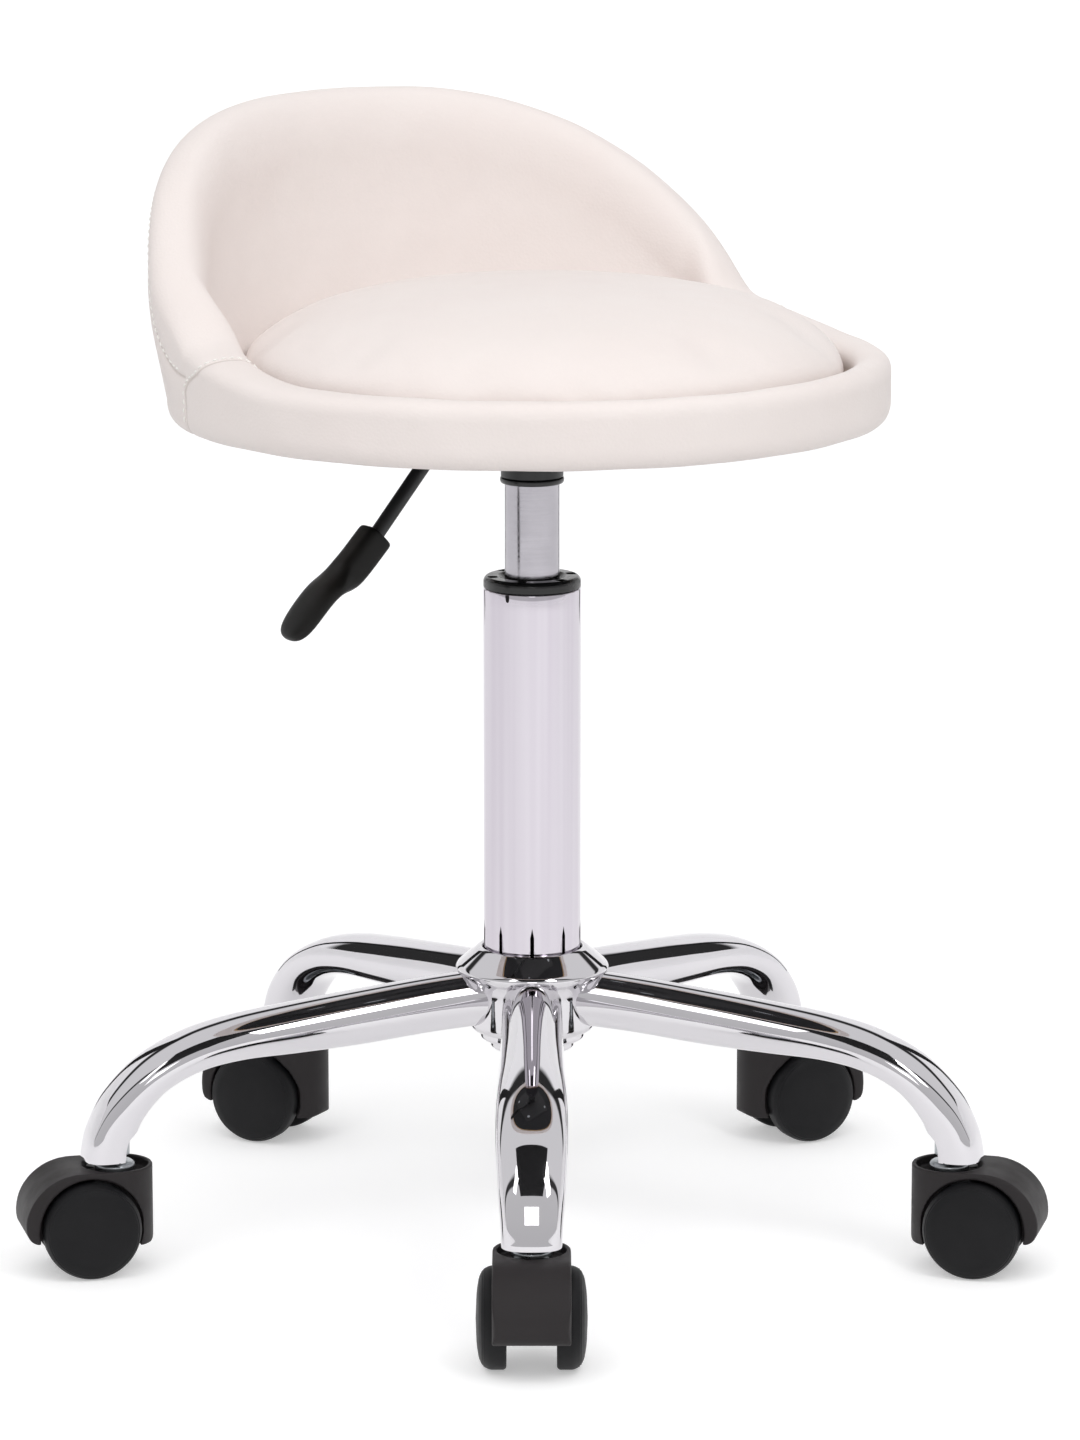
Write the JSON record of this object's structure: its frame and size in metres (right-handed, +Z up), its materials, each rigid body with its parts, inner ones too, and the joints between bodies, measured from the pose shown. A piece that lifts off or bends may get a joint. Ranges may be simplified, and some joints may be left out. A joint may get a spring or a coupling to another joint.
{
  "type": "rolling stool",
  "caption": "Low-back rolling stylist stool with a round cushioned seat, gas lift column, release lever and a chrome star base on casters.",
  "frame": {"origin": "on the floor, at the middle of the stool's footprint", "axes": "+Z up, one leg points along -Y, the backrest stands towards -X and +Y"},
  "size_m": [0.526, 0.4891, 0.578],
  "materials": {
    "leather": "ivory synthetic leather, matte, fine grain",
    "plywood": "moulded plywood, unfinished",
    "black_cloth": "black non-woven dust cloth",
    "black_steel": "black powder coat on steel",
    "zinc_steel": "zinc-plated steel",
    "satin_steel": "ground and polished steel",
    "chrome": "bright chrome plate on steel",
    "black_plastic": "glossy black moulded plastic",
    "nylon": "black moulded nylon, fine matte texture",
    "rubber": "black rubber"
  },
  "bodies": {
    "base": {"column_tube": "chrome", "tube_bushing": "black_plastic", "thrust_bearing": "zinc_steel", "bearing_washer": "zinc_steel", "hub": "chrome", "hub_ring": "chrome", "leg_1": "chrome", "leg_2": "chrome", "leg_3": "chrome", "leg_4": "chrome", "leg_5": "chrome"},
    "piston": {"piston_rod": "satin_steel", "bump_stop": "rubber", "retaining_clip": "zinc_steel"},
    "seat": {"back_and_rim": "leather", "seat_cushion": "leather", "seat_board": "plywood", "dust_cover": "black_cloth", "t_nut_1": "zinc_steel", "t_nut_2": "zinc_steel", "t_nut_3": "zinc_steel", "t_nut_4": "zinc_steel", "seat_screw_1": "zinc_steel", "seat_screw_2": "zinc_steel", "seat_screw_3": "zinc_steel", "seat_screw_4": "zinc_steel", "seat_plate": "black_steel", "plate_socket": "black_steel", "lever_clip": "black_steel", "socket_collar": "black_plastic", "gas_cylinder": "satin_steel"},
    "lever": {"lever_rod": "black_steel", "lever_grip": "black_plastic"},
    "pin": {"release_pin": "zinc_steel"},
    "caster_1": {"caster_stem_1": "zinc_steel", "caster_hood_1": "nylon", "caster_axle_1": "zinc_steel"},
    "wheel_1_left": {"wheel_1_left": "nylon"},
    "wheel_1_right": {"wheel_1_right": "nylon"},
    "caster_2": {"caster_stem_2": "zinc_steel", "caster_hood_2": "nylon", "caster_axle_2": "zinc_steel"},
    "wheel_2_left": {"wheel_2_left": "nylon"},
    "wheel_2_right": {"wheel_2_right": "nylon"},
    "caster_3": {"caster_stem_3": "zinc_steel", "caster_hood_3": "nylon", "caster_axle_3": "zinc_steel"},
    "wheel_3_left": {"wheel_3_left": "nylon"},
    "wheel_3_right": {"wheel_3_right": "nylon"},
    "caster_4": {"caster_stem_4": "zinc_steel", "caster_hood_4": "nylon", "caster_axle_4": "zinc_steel"},
    "wheel_4_left": {"wheel_4_left": "nylon"},
    "wheel_4_right": {"wheel_4_right": "nylon"},
    "caster_5": {"caster_stem_5": "zinc_steel", "caster_hood_5": "nylon", "caster_axle_5": "zinc_steel"},
    "wheel_5_left": {"wheel_5_left": "nylon"},
    "wheel_5_right": {"wheel_5_right": "nylon"}
  },
  "joints": [
    {"name": "seat_swivel", "type": "hinge", "parent": "base", "child": "piston", "pos_m": [0, 0.026, 0.13], "axis": [0, 0, 1], "continuous": true},
    {"name": "seat_lift", "type": "slide", "parent": "piston", "child": "seat", "axis": [0, 0, 1], "range_m": [-0.044, 0.085]},
    {"name": "lever_pull", "type": "hinge", "parent": "seat", "child": "lever", "pos_m": [-0.0213, 0.01109, 0.417], "axis": [-0.5736, 0.8192, 0], "range_deg": [0, 8], "stiffness_Nm_per_rad": 1, "springref_deg": -5.73},
    {"name": "pin_press", "type": "slide", "parent": "seat", "child": "pin", "axis": [0, 0, -1], "range_m": [0, 0.0042]},
    {"name": "caster_swivel_1", "type": "hinge", "parent": "base", "child": "caster_1", "pos_m": [0, -0.1965, 0.05], "axis": [0, 0, 1], "continuous": true},
    {"name": "wheel_spin_1_left", "type": "hinge", "parent": "caster_1", "child": "wheel_1_left", "pos_m": [0, -0.2115, 0.025], "axis": [1, 0, 0], "continuous": true},
    {"name": "wheel_spin_1_right", "type": "hinge", "parent": "caster_1", "child": "wheel_1_right", "pos_m": [0, -0.2115, 0.025], "axis": [1, 0, 0], "continuous": true},
    {"name": "caster_swivel_2", "type": "hinge", "parent": "base", "child": "caster_2", "pos_m": [0.21161, -0.04276, 0.05], "axis": [0, 0, 1], "continuous": true},
    {"name": "wheel_spin_2_left", "type": "hinge", "parent": "caster_2", "child": "wheel_2_left", "pos_m": [0.22617, -0.04639, 0.025], "axis": [0.2419, 0.9703, 0], "continuous": true},
    {"name": "wheel_spin_2_right", "type": "hinge", "parent": "caster_2", "child": "wheel_2_right", "pos_m": [0.22617, -0.04639, 0.025], "axis": [0.2419, 0.9703, 0], "continuous": true},
    {"name": "caster_swivel_3", "type": "hinge", "parent": "base", "child": "caster_3", "pos_m": [0.13078, 0.20601, 0.05], "axis": [0, 0, 1], "continuous": true},
    {"name": "wheel_spin_3_left", "type": "hinge", "parent": "caster_3", "child": "wheel_3_left", "pos_m": [0.14426, 0.21258, 0.025], "axis": [-0.4384, 0.8988, 0], "continuous": true},
    {"name": "wheel_spin_3_right", "type": "hinge", "parent": "caster_3", "child": "wheel_3_right", "pos_m": [0.14426, 0.21258, 0.025], "axis": [-0.4384, 0.8988, 0], "continuous": true},
    {"name": "caster_swivel_4", "type": "hinge", "parent": "base", "child": "caster_4", "pos_m": [-0.13078, 0.20601, 0.05], "axis": [0, 0, 1], "continuous": true},
    {"name": "wheel_spin_4_left", "type": "hinge", "parent": "caster_4", "child": "wheel_4_left", "pos_m": [-0.14426, 0.21258, 0.025], "axis": [-0.4384, -0.8988, 0], "continuous": true},
    {"name": "wheel_spin_4_right", "type": "hinge", "parent": "caster_4", "child": "wheel_4_right", "pos_m": [-0.14426, 0.21258, 0.025], "axis": [-0.4384, -0.8988, 0], "continuous": true},
    {"name": "caster_swivel_5", "type": "hinge", "parent": "base", "child": "caster_5", "pos_m": [-0.21161, -0.04276, 0.05], "axis": [0, 0, 1], "continuous": true},
    {"name": "wheel_spin_5_left", "type": "hinge", "parent": "caster_5", "child": "wheel_5_left", "pos_m": [-0.22617, -0.04639, 0.025], "axis": [0.2419, -0.9703, 0], "continuous": true},
    {"name": "wheel_spin_5_right", "type": "hinge", "parent": "caster_5", "child": "wheel_5_right", "pos_m": [-0.22617, -0.04639, 0.025], "axis": [0.2419, -0.9703, 0], "continuous": true}
  ],
  "couplings": [
    {"joint": "pin_press", "follows": "lever_pull", "m_per_rad": 0.03}
  ]
}
